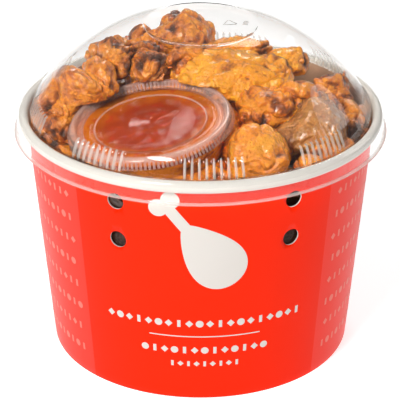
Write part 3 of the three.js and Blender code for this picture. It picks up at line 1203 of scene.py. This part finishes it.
@dataclass
class Print:
    """Plain shapes laid on the wall as thin ink, in millimetres."""

    lift: float = 0.06
    lean: float = 38.0
    middle: Point = (-0.6, 82.0)
    meat: Point = (16.5, 19.0)
    shank: Point = (2.7, 9.5)
    knob: Point = (4.3, 4.3)
    knob_aside: float = 3.4
    rule: Point = (25.5, 0.28)
    rule_height: float = 34.4
    side_rows: int = 8
    side_foot: float = 14.0
    side_pitch: float = 11.7

    def shape(self, bm: bmesh.types.BMesh, mark: Mark, size: Point, tilt: float, at: Point,
              panel: float, steps: int = 4, raise_by: float = 0.0) -> None:
        """Adds one shape, wrapped round the wall.

        Args:
            bm: the bmesh to add to.
            mark: which shape.
            size: its half width and half height.
            tilt: degrees that it is turned in its own plane.
            at: degrees round from the panel's middle, and height.
            panel: degrees of the panel's middle round from the front.
            steps: divisions each way.
            raise_by: extra lift, so that shapes that overlap don't share a face.
        """
        turn = Matrix.Rotation(math.radians(tilt), 2)
        grid = bmesh.ops.create_grid(bm, x_segments=steps, y_segments=steps, size=1.0)["verts"]
        for vert in grid:
            u, v = vert.co.x, vert.co.y
            if mark in (Mark.DISC, Mark.DROP):
                u, v = u * math.sqrt(1 - v * v / 2), v * math.sqrt(1 - u * u / 2)
            if mark is Mark.DROP:
                u *= 1.0 - 0.42 * (v + 1) / 2 - 0.18 * ((v + 1) / 2) ** 2
            if mark is Mark.DIAMOND:
                u, v = (u - v) / 2, (u + v) / 2
            flat = turn @ Vector((u * size[0], v * size[1]))
            height = at[1] + flat.y
            radius = PACK.wall(height) + self.lift + raise_by
            angle = math.radians(panel + at[0]) + flat.x / radius
            vert.co = (radius * math.sin(angle), -radius * math.cos(angle), height)

    def row(self, bm: bmesh.types.BMesh, marks: list[Mark], size: Point, span: float, height: float,
            panel: float, pitch: float) -> None:
        """Adds a row of small shapes in turn, from -span to span degrees.

        Args:
            bm: the bmesh to add to.
            marks: the shapes, taken in turn.
            size: half width and half height of each.
            span: half of the row's spread in degrees.
            height: height of the row's middle.
            panel: degrees of the panel's middle round from the front.
            pitch: distance from shape to shape, in millimetres.
        """
        step = math.degrees(pitch / PACK.wall(height))
        count = int(2 * span / step)
        for i in range(count + 1):
            mark = marks[i % len(marks)]
            half = (size[0] * 0.42, size[1]) if mark is Mark.BAR else size
            self.shape(bm, mark, half, 0.0, ((i - count / 2) * step, height), panel)

    def front(self, bm: bmesh.types.BMesh, panel: float) -> None:
        """Adds one printed panel: a drumstick over rows of small shapes and a rule.

        Args:
            bm: the bmesh to add to.
            panel: degrees of the panel's middle round from the front.
        """
        lean, middle = self.lean, self.middle
        way = Vector((-math.sin(math.radians(lean)), math.cos(math.radians(lean))))

        def along(distance: float, aside: float = 0.0) -> Point:
            """A place along the drumstick's axis."""
            spot = way * distance + Vector((way.y, -way.x)) * aside
            return middle[0] + math.degrees(spot.x / PACK.wall(middle[1])), middle[1] + spot.y

        self.shape(bm, Mark.DROP, self.meat, lean, along(-5.0), panel, 28)
        self.shape(bm, Mark.BAR, self.shank, lean, along(18.0), panel, 8, 0.02)
        for aside in (-self.knob_aside, self.knob_aside):
            self.shape(bm, Mark.DISC, self.knob, 0.0, along(27.5, aside), panel, 12, 0.04)
        self.row(bm, [Mark.DIAMOND, Mark.DISC, Mark.DIAMOND, Mark.BAR], (1.8, 1.85), 35.5, 41.4, panel, 4.7)
        self.shape(bm, Mark.BAR, self.rule, 0.0, (0.0, self.rule_height), panel, 24)
        self.row(bm, [Mark.DISC, Mark.BAR, Mark.DIAMOND], (1.75, 1.8), 22.0, 26.9, panel, 4.6)
        self.row(bm, [Mark.BAR, Mark.DIAMOND], (1.45, 1.4), 13.0, 19.4, panel, 3.7)

    def sides(self, bm: bmesh.types.BMesh, panel: float) -> None:
        """Adds the faint rows of one side panel.

        Args:
            bm: the bmesh to add to.
            panel: degrees of the panel's middle round from the front.
        """
        for i in range(self.side_rows):
            height = self.side_foot + self.side_pitch * i
            marks = [Mark.DIAMOND, Mark.BAR, Mark.BAR] if i % 2 else [Mark.BAR, Mark.DISC]
            self.row(bm, marks, (1.7, 1.8), 41.0, height, panel, 4.6)


@dataclass
class Bucket:
    """The tapered paper bucket: printed wall, white rolled rim and vent holes."""

    steps: int = 192
    vent_radius: float = 4.0
    vent_heights: Point = (81.7, 101.3)
    vent_spread: float = 29.2
    vent_segments: int = 40
    vent_pin: float = 8.0
    faces_out: float = 0.5
    print_drop: float = 2.0
    print_split: float = 0.12
    stain_and_shade_top: float = 113.8
    hem_gap: float = 0.7
    hem_foot: float = 0.8
    hem_lean: float = 0.6
    foot_bend: float = 0.3

    def wall_profile(self) -> list[Point]:
        """Section of the wall with its folded hem, up to the rolled rim.

        Returns:
            Its points as (radius, height).
        """
        centre = PACK.roll_centre
        inner_roll = oval(centre, PACK.roll_half_width - PACK.paper, PACK.roll_half_height - PACK.paper,
                          180, -115, 20)
        outer_roll = oval(centre, PACK.roll_half_width, PACK.roll_half_height, -115, 180, 28)
        channel = PACK.paper + self.hem_gap
        bend, low = self.foot_bend, self.hem_foot
        turns = (0.0, 0.8, 1.57)
        foot = [(PACK.wall(0) + bend * math.sin(a) - bend, bend - bend * math.cos(a)) for a in turns]
        heights = [4 + (PACK.roll_height - 6) * i / 24 for i in range(25)]
        outer = foot + [(PACK.wall(z), z) for z in heights]
        inner = [(PACK.wall(z) - PACK.paper, z) for z in (110, 100, 80, 60, 40, 20, low)]
        hem_out = PACK.wall(low) - PACK.paper - channel
        hem_in = hem_out - PACK.paper
        hem = [(hem_out, low), (hem_out + self.hem_lean, PACK.hem_top)]
        hem += [(hem_in + self.hem_lean, PACK.hem_top), (hem_in, 0.0)]
        return outer + inner_roll + outer_roll + inner + hem

    def build(self) -> None:
        """Builds the wall, cuts its vents and prints it."""
        bm = bmesh.new()
        spin_profile(bm, self.wall_profile(), self.steps, closed=True)
        wall = finished(bm, "paper_wall")
        self.cut_vents(wall)
        place(wall, Board.RED.value.material(), ("bucket_wall",))
        plain = Board.WHITE.value.material()
        wall.data.materials.append(plain)
        wall.data.materials.append(Board.STAIN_AND_SHADE.value.material())
        self.paint(wall)
        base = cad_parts["bucket_base"]
        base.data.materials.clear()
        base.data.materials.append(plain)
        self.print_panels(plain)

    def cut_vents(self, wall: bpy.types.Object) -> None:
        """Cuts the round vent holes, front and back.

        Args:
            wall: the uncut wall.
        """
        bm = bmesh.new()
        for panel in PACK.fronts:
            for side in (-self.vent_spread, self.vent_spread):
                for height in self.vent_heights:
                    aim = Matrix.Rotation(math.radians(panel + side), 4, "Z")
                    spot = aim @ Matrix.Translation((0, -PACK.wall(height), height))
                    pin = spot @ Matrix.Rotation(math.radians(90), 4, "X")
                    bmesh.ops.create_cone(bm, cap_ends=True, segments=self.vent_segments,
                                          radius1=self.vent_radius, radius2=self.vent_radius,
                                          depth=self.vent_pin, matrix=pin)
        cutter = finished(bm, "vent_cutter")
        cut = wall.modifiers.new("vents", "BOOLEAN")
        cut.operation, cut.object, cut.solver = "DIFFERENCE", cutter, "EXACT"
        settle(wall)
        bpy.data.objects.remove(cutter)

    def paint(self, wall: bpy.types.Object) -> None:
        """Prints the outside below the roll, and paints the inside brown where the wings touch it, as grease
        stain and painted shade.

        Args:
            wall: the wall with its three materials.
        """
        for polygon in wall.data.polygons:
            centre = polygon.center / MM
            radius = math.hypot(centre.x, centre.y)
            near = abs(radius - PACK.wall(centre.z)) < self.print_split
            facing = (polygon.normal.x * centre.x + polygon.normal.y * centre.y) / max(radius, 1)
            printed = near and facing > self.faces_out and centre.z < PACK.roll_height - self.print_drop
            inner = radius < PACK.wall(centre.z) - self.print_split and facing < -self.faces_out
            # grease stain and painted shade: brown inside from the hem up to near the roll
            inside = inner and PACK.hem_top < centre.z < self.stain_and_shade_top
            polygon.material_index = 0 if printed else 2 if inside else 1
            polygon.use_smooth = True

    def print_panels(self, ink: bpy.types.Material) -> None:
        """Prints the two white panels and the two faint side panels.

        Args:
            ink: the white ink.
        """
        maker = Print()
        bm = bmesh.new()
        for panel in PACK.fronts:
            maker.front(bm, panel)
        place(finished(bm, "white_print"), ink)
        bm = bmesh.new()
        for panel in (PACK.panel_turn + 90, PACK.panel_turn - 90):
            maker.sides(bm, panel)
        place(finished(bm, "faint_print"), Board.FAINT.value.material())


# ------------------------------------------------------------------ lid


@dataclass
class DomeLid:
    """The clear domed lid with its ribbed band, snap skirt and knurled flange."""

    steps: int = 1080
    rib_groups: int = 9
    rib_first: float = 13 / 3
    ribs: int = 9
    rib_pitch: float = 7 / 3
    rib_height: float = 0.9
    rib_drop: float = 2.3
    crest_share: float = 0.15
    skirt_foot: float = 106.3
    flange_radius: float = 87.4
    lugs: int = 22
    lug_depth: float = 0.3
    lug_spread: float = 0.7
    knurl_depth: float = 0.35
    ledge: float = 0.3
    rim_gap: float = 0.85
    highlight_drop: float = 6.4
    mark_line: Point = (0.45, 0.3)

    def profile(self) -> list[Point]:
        """Section of the lid's outer face, from the middle of its top to the flange.

        Returns:
            Its points as (radius, height).
        """
        ring = PACK.ring_radius
        flat = PACK.disc_height
        points = [(0.0, flat), (12.0, flat), (PACK.disc_radius - 0.5, flat), (PACK.disc_radius, flat + 0.06)]
        points += [(PACK.disc_radius + 0.3, flat + 0.4), (ring - 0.35, PACK.dome(ring) - 0.35)]
        points += [(ring - 0.05, PACK.dome(ring) - 0.05), (ring + 0.3, PACK.dome(ring + 0.3))]
        start = math.asin((ring + 1.2) / PACK.dome_radius)
        end = math.asin(PACK.band_head[0] / PACK.dome_radius)
        for i in range(10):
            angle = start + (end - start) * i / 9
            radius = PACK.dome_radius * math.sin(angle)
            points.append((radius, PACK.dome(radius)))
        head, foot = PACK.band_head, PACK.band_foot
        for i in range(1, 7):
            share = i / 6
            radius = head[0] + self.ledge + (foot[0] - head[0] - self.ledge) * share
            points.append((radius, head[1] + (foot[1] - head[1]) * share))
        points += [(foot[0] + 0.1 * i, foot[1] - self.rib_drop * i / 3) for i in (1, 2, 3)]
        width, height = PACK.roll_half_width + self.rim_gap, PACK.roll_half_height + self.rim_gap
        points += oval(PACK.roll_centre, width, height, 152, 0, 9)
        skirt = PACK.roll_centre[0] + PACK.roll_half_width + self.rim_gap
        points += [(skirt, z) for z in (111.5, 110.0, 108.5, 107.4)] + [(skirt + 0.15, 107.0)]
        return points + [(self.flange_radius - 0.1, 106.95), (self.flange_radius - 0.05, 106.7)]

    def rib_at(self, angle: float) -> float | None:
        """How many pitches an angle is from its group's middle rib, or None between groups.

        Args:
            angle: degrees round from the front.

        Returns:
            The distance in pitches.
        """
        turn = 360 / self.rib_groups
        rib = ((angle - self.rib_first + turn / 2) % turn - turn / 2) / self.rib_pitch
        return rib if abs(rib) < self.ribs / 2 else None

    def ribbed(self, co: Vector) -> float:
        """How far the outer face stands out at a point, for the ribs, lugs and knurling.

        Args:
            co: a point of the outer face in millimetres.

        Returns:
            The push outwards in millimetres.
        """
        angle, radius = azimuth(co), math.hypot(co.x, co.y)
        foot, head = PACK.band_foot, PACK.band_head
        low = foot[1] - self.rib_drop
        if low - 0.1 < co.z < head[1] + 0.2 and foot[0] + 0.4 > radius > head[0] - 0.1:
            rib = self.rib_at(angle)
            if rib is not None:
                fade = max(0.0, min(1.0, co.z - low, head[1] - co.z))
                return self.rib_height * fade * (0.5 + 0.5 * math.cos(2 * math.pi * rib))
        if self.skirt_foot + 1.5 < co.z < 112 and radius > PACK.wall(co.z) + 3:
            turn = 360 / self.lugs
            offset = (angle + turn / 2) % turn - turn / 2
            return -self.lug_depth * bulge(offset, 0.0, self.lug_spread)
        if co.z < self.skirt_foot + 0.8 and radius > self.flange_radius - 0.6:
            return -self.knurl_depth * (round(angle * self.steps / 360) % 2)
        return 0.0

    def build(self) -> None:
        """Builds the lid as a thin shell, with milky plastic as painted highlights on the ribs' crests and
        at the flange's edge.
        """
        bm = bmesh.new()
        spin_profile(bm, self.profile(), self.steps, closed=False)
        for vert in bm.verts:
            push = self.ribbed(vert.co)
            if push:
                out = Vector((vert.co.x, vert.co.y, 0)).normalized()
                vert.co += out * push
        lid = finished(bm, "clear_dome")
        face_up(lid)
        thicken(lid, PACK.plastic)
        place(lid, Plastic.CLEAR.value.material(), ("dome_lid",))
        lid.data.materials.append(Plastic.HIGHLIGHT_FILM.value.material())
        for polygon in lid.data.polygons:
            centre = polygon.center / MM
            rib = self.rib_at(azimuth(centre))
            banded = PACK.band_foot[1] - self.rib_drop + 0.3 < centre.z < PACK.band_head[1] - 0.2
            banded = banded and math.hypot(centre.x, centre.y) < PACK.band_foot[0] + 1.2
            crest = banded and rib is not None and abs(rib - round(rib)) < self.crest_share
            # painted highlights: milky plastic on the rib crests and on the flange below the skirt
            polygon.material_index = int(crest or centre.z < PACK.roll_height - self.highlight_drop)
        self.build_mark()

    def build_mark(self) -> None:
        """Raises a plain triangle and a few short bars on the top disc."""
        bm = bmesh.new()
        middle = Vector((13.5, 4.5, PACK.disc_height + 0.12))
        for i in range(3):
            turn = Matrix.Rotation(math.radians(120 * i + 8), 4, "Z")
            side = Matrix.Translation(middle) @ turn @ Matrix.Translation((0, -2.0, 0))
            bmesh.ops.create_cube(bm, size=1.0, matrix=side @ Matrix.Diagonal((5.4, *self.mark_line, 1)))
        for i in range(4):
            spot = middle + Vector((7.0 + 0.2 * i, -2.2 + 1.5 * i, 0))
            bar = Matrix.Translation(spot) @ Matrix.Diagonal((2.6 - 0.4 * (i % 2), *self.mark_line, 1))
            bmesh.ops.create_cube(bm, size=1.0, matrix=bar)
        bmesh.ops.bevel(
            bm, geom=bm.edges[:], offset=0.1, segments=1, profile=0.5, affect="EDGES", material=-1,
        )
        place(finished(bm, "lid_mark"), Plastic.MARK.value.material())


# ------------------------------------------------------------------ dip pot


@dataclass
class DipPot:
    """The clear pot of sauce: cup, snap lid with rings and knurled skirt, and sauce."""

    steps: int = 180
    knurls: int = 120
    smooth_skirt: float = 1.6
    lid_plastic: float = 0.45
    tooth: float = 0.008
    tick: float = 0.18
    tick_ring: Point = (31.0, 33.7)
    highlight_ring: Point = (25.3, 25.95)
    milky_edge: float = 34.2
    highlight_ticks: float = 30.7
    sunk: float = 0.9
    overlap: float = 0.15
    dished: float = 0.2
    wave: Point = (0.5, 5.0)
    ripple: Point = (0.25, 1.8)

    def lid_profile(self) -> list[Point]:
        """Section of the lid's upper face, from its middle to the skirt's foot.

        Returns:
            Its points as (radius, height).
        """
        sunk = POT.rim - self.sunk
        raised = sunk + self.sunk
        points = [(0.0, sunk), (9.0, sunk), (9.6, sunk + 0.35), (10.4, sunk + 0.35), (11.0, sunk)]
        points += [(25.3, sunk), (25.9, sunk + 0.2), (26.5, raised), (30.8, raised), (31.4, sunk + 0.2)]
        points += [(32.0, sunk), (33.0, sunk), (33.5, sunk + 0.6), (33.9, -0.4), (34.4, 0.0)]
        points += [(POT.lid_top_radius - 0.5, 0.0), (POT.lid_top_radius, -0.3)]
        for i in range(1, 5):
            share = i / 4
            radius = POT.lid_top_radius + (POT.lid_radius - POT.lid_top_radius) * share
            points.append((radius, -0.3 - (POT.skirt - 0.3) * share))
        return points

    def moved(self, bm: bmesh.types.BMesh, name: str) -> bpy.types.Object:
        """Finishes a piece made about the pot's own axis where the pot leans."""
        bmesh.ops.transform(bm, matrix=POT_FROM_AXIS, verts=bm.verts[:])
        return finished(bm, name)

    def build(self) -> None:
        """Builds the lid, the cup and the sauce."""
        plastic = Plastic.POT.value.material()
        self.build_lid(plastic)
        self.build_cup(plastic)
        self.build_sauce()

    def build_lid(self, plastic: bpy.types.Material) -> None:
        """Builds the lid, frosted at its outer edge, with milky plastic as painted highlights on its inner
        ring, ticks and teeth.

        Args:
            plastic: the clear material.
        """
        bm = bmesh.new()
        spin_profile(bm, self.lid_profile(), self.steps * 2, closed=False)
        for vert in bm.verts:
            knurl = math.cos(self.knurls * math.atan2(vert.co.y, vert.co.x))
            if -POT.skirt + 0.2 < vert.co.z < -self.smooth_skirt:
                vert.co.xy *= 1 + self.tooth * knurl
            elif self.tick_ring[0] < math.hypot(vert.co.x, vert.co.y) < self.tick_ring[1]:
                vert.co.z += self.tick * knurl
        lid = self.moved(bm, "dip_lid")
        face_up(lid)
        thicken(lid, self.lid_plastic)
        place(lid, plastic, ("dip_pot_lid",))
        lid.data.materials.append(Plastic.FROST_AND_HIGHLIGHT.value.material())
        for polygon in lid.data.polygons:
            spot = POT_TO_AXIS @ (polygon.center / MM)
            radius = math.hypot(spot.x, spot.y)
            edge = radius > self.milky_edge and spot.z > -self.smooth_skirt
            ring = self.highlight_ring[0] < radius < self.highlight_ring[1]
            tick = math.cos(self.knurls * math.atan2(spot.y, spot.x)) > 0.1 and radius > self.highlight_ticks
            # painted highlights on the ring and the ticks; the edge is frosted
            polygon.material_index = int(ring or edge or tick)

    def build_cup(self, plastic: bpy.types.Material) -> None:
        """Builds the cup.

        Args:
            plastic: the clear material.
        """
        floor, thick, lip = POT.floor, POT.plastic, POT.rim_radius + 1
        cup = [(0.0, floor), (POT.floor_radius - 1.5, floor), (POT.floor_radius, floor + 1.5)]
        cup += [(POT.wall(z), z) for z in (-30, -22, -14, -9, -6, -4.6)]
        cup += [(lip, POT.rim - 1), (lip, POT.rim), (POT.rim_radius - 0.6, POT.rim)]
        cup += [(POT.wall(z) - thick, z) for z in (-5, -10, -20, -30)]
        cup += [(POT.floor_radius - thick, floor + 1.6), (POT.floor_radius - 2, floor + thick)]
        bm = bmesh.new()
        spin_profile(bm, cup + [(0.0, floor + thick)], self.steps, closed=False)
        place(self.moved(bm, "dip_cup"), plastic, ("dip_pot",))

    def build_sauce(self) -> None:
        """Builds the sauce, reaching just into the cup's wall, with a rippled top."""
        floor = POT.floor + 0.5
        level = POT.sauce_level
        reach = POT.wall(level) - POT.plastic + self.overlap
        profile = [(0.0, floor), (POT.floor_radius - 2.0, floor), (POT.floor_radius - 0.45, floor + 1.8)]
        profile += [(POT.wall(z) - POT.plastic + self.overlap, z) for z in (-30, -22, -14, -9, level - 0.5)]
        profile += [(reach, level)] + [(reach * i / 24, level - self.dished) for i in range(23, -1, -1)]
        bm = bmesh.new()
        spin_profile(bm, profile, 96, closed=False)
        layer = bm.verts.layers.float.new(EDGE)
        for vert in bm.verts:
            radius = math.hypot(vert.co.x, vert.co.y)
            top = vert.co.z > level - 0.3
            vert[layer] = min(1.0, max(0.0, (radius / reach - 0.45) / 0.5)) if top else 0.0
            if vert.co.z > level - 0.4 and radius < reach - 1:
                swell = self.wave[0] * noise.noise(vert.co / self.wave[1])
                vert.co.z += swell + self.ripple[0] * noise.noise(vert.co / self.ripple[1])
        place(self.moved(bm, "chilli_sauce"), SauceFinish().material(), ("dip_sauce",))


# ------------------------------------------------------------------ studio


@dataclass(frozen=True)
class Studio:
    """The camera, the pale floor and the soft lights."""

    distance: float = 0.9
    elevation: float = 26.3235
    look_height: float = 0.066583
    focal_pixels: float = 1874.65
    image_width: float = 400.0
    sensor: float = 36.0
    surround: float = 0.22
    floor_glow: float = 0.68
    floor_reach: float = 6000.0
    aim_height: float = 0.08

    def camera(self) -> None:
        """Stands the camera where the photograph was taken."""
        lens = bpy.data.cameras.new("camera")
        lens.sensor_width = self.sensor
        lens.lens = self.sensor * self.focal_pixels / self.image_width
        lens.shift_x = -0.5 / self.image_width
        camera = bpy.data.objects.new("camera", lens)
        tilt = math.radians(self.elevation)
        rise = self.look_height + self.distance * math.sin(tilt)
        camera.location = (0.0, -self.distance * math.cos(tilt), rise)
        camera.rotation_euler = (math.pi / 2 - tilt, 0.0, 0.0)
        bpy.context.scene.collection.objects.link(camera)
        bpy.context.scene.camera = camera

    def floor(self) -> None:
        """Lays the pale floor."""
        bm = bmesh.new()
        bmesh.ops.create_grid(bm, x_segments=2, y_segments=2, size=self.floor_reach)
        floor = finished(bm, "floor", smooth=False)
        material, maker, shader = new_material("pale floor")
        coords = maker.add("ShaderNodeTexCoord").outputs["Object"]
        tone = maker.ramp(maker.noise(coords, 3.0), [(0.0, (0.93, 0.93, 0.93)), (1.0, (0.95, 0.95, 0.95))])
        maker.join(tone, shader.inputs["Base Color"])
        tune(shader, Roughness=0.8, Specular_IOR_Level=0.1, Emission_Color=(1.0, 1.0, 1.0, 1.0),
             Emission_Strength=self.floor_glow)
        floor.data.materials.append(material)

    def lamp(self, name: str, place_at: Triple, size: Point, power: float, mirrored: bool,
             lights: bool) -> None:
        """Hangs one soft box aimed at the bucket.

        Args:
            name: the lamp's name.
            place_at: where it hangs, in metres.
            size: its width and height in metres.
            power: its power in watts.
            mirrored: shows in reflections.
            lights: lights matt surfaces.
        """
        light = bpy.data.lights.new(name, "AREA")
        light.shape = "ELLIPSE"
        light.size, light.size_y = size
        light.energy = power
        lamp = bpy.data.objects.new(name, light)
        lamp.visible_glossy, lamp.visible_diffuse = mirrored, lights
        lamp.location = place_at
        aim = Vector((0, 0, self.aim_height)) - Vector(place_at)
        lamp.rotation_euler = aim.to_track_quat("-Z", "Y").to_euler()
        bpy.context.scene.collection.objects.link(lamp)

    def build(self) -> None:
        """Sets the camera, the floor, the lights and the surroundings."""
        self.camera()
        self.floor()
        self.lamp("key box", (-0.55, -1.0, 1.0), (0.4, 0.4), 12.0, True, True)
        self.lamp("back box", (0.1, 1.1, 1.1), (0.7, 0.4), 5.0, False, True)
        self.lamp("side window", (0.9, 0.36, 0.53), (0.5, 0.42), 0.8, True, False)
        world = bpy.data.worlds.new("studio")
        world.use_nodes = True
        sky = world.node_tree.nodes["Background"]
        sky.inputs["Color"].default_value = (1.0, 1.0, 1.0, 1.0)
        sky.inputs["Strength"].default_value = self.surround
        bpy.context.scene.world = world
        bpy.context.scene.view_settings.view_transform = "Standard"


def main() -> None:
    """Builds the studio, the bucket, the wings, the dip pot and the lid."""
    logging.basicConfig(level=logging.INFO, format="%(name)s: %(message)s")
    Studio().build()
    Bucket().build()
    WingHeap().build_visible()
    DipPot().build()
    DomeLid().build()


if __name__ == "__main__":
    main()
